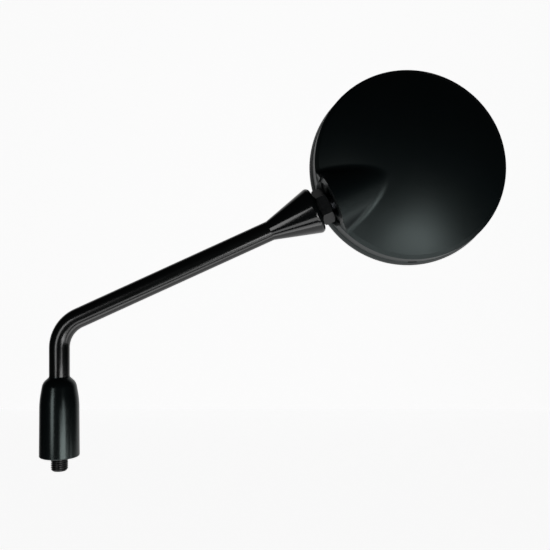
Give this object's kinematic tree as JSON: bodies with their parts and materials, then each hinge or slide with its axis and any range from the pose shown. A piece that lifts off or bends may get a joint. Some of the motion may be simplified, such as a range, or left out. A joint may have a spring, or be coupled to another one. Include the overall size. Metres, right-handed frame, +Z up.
{
  "type": "motorcycle mirror",
  "caption": "Round motorcycle mirror: a domed black head with a conical blister over its ball joint, on a bent threaded stem with a ferrule and a rubber boot.",
  "frame": {"origin": "centre of the stem's foot on the seat, where the boot and base lock nut meet the handlebar boss", "axes": "+Z up along the stem's leg, +X out along the arm towards the head, +Y from the back of the head towards the glass"},
  "size_m": [0.2813, 0.0483, 0.242],
  "materials": {
    "rod_paint": "gloss black enamel",
    "ferrule_paint": "gloss black enamel",
    "boot_rubber": "satin black rubber",
    "zinc_steel": "zinc plated",
    "black_zinc": "black zinc",
    "cup_plastic": "natural acetal",
    "shell_plastic": "satin moulded black",
    "foam": "closed-cell foam",
    "gasket_rubber": "matt black rubber",
    "mirror_glass": "silvered convex glass",
    "bezel_plastic": "satin moulded black"
  },
  "bodies": {
    "stem": {"stem_rod": "rod_paint", "arm_ferrule": "ferrule_paint"},
    "boot": {"rubber_boot": "boot_rubber"},
    "base_nut": {"base_lock_nut": "zinc_steel"},
    "stud": {"ball_stud": "zinc_steel"},
    "head_nut": {"head_lock_nut": "black_zinc"},
    "ball_cups": {"ball_cup_rear": "cup_plastic", "ball_cup_front": "cup_plastic"},
    "head": {"head_shell": "shell_plastic", "clamp_plate": "zinc_steel", "clamp_washers": "zinc_steel", "clamp_screws": "zinc_steel", "foam_disc": "foam", "glass_gasket": "gasket_rubber", "mirror_glass": "mirror_glass", "bezel_ring": "bezel_plastic"}
  },
  "joints": [
    {"name": "boot_slide", "type": "slide", "parent": "stem", "child": "boot", "axis": [0, 0, 1], "range_m": [0, 0.016]},
    {"name": "base_nut_turn", "type": "hinge", "parent": "stem", "child": "base_nut", "pos_m": [0, 0, 0.004], "axis": [0, 0, 1], "continuous": true},
    {"name": "stud_turn", "type": "hinge", "parent": "stem", "child": "stud", "pos_m": [0.17071, 0, 0.1547], "axis": [0.91, 0, 0.4147], "range_deg": [-90, 90]},
    {"name": "head_nut_turn", "type": "hinge", "parent": "stud", "child": "head_nut", "pos_m": [0.17071, 0, 0.1547], "axis": [0.91, 0, 0.4147], "continuous": true},
    {"name": "head_pan", "type": "hinge", "parent": "stud", "child": "ball_cups", "pos_m": [0.17071, 0, 0.1547], "axis": [-0.4147, 0, 0.91], "range_deg": [-14.5, 3.5]},
    {"name": "head_tilt", "type": "hinge", "parent": "ball_cups", "child": "head", "pos_m": [0.17071, 0, 0.1547], "axis": [-0.0872, 0.9954, -0.0397], "range_deg": [-6, 6]}
  ]
}
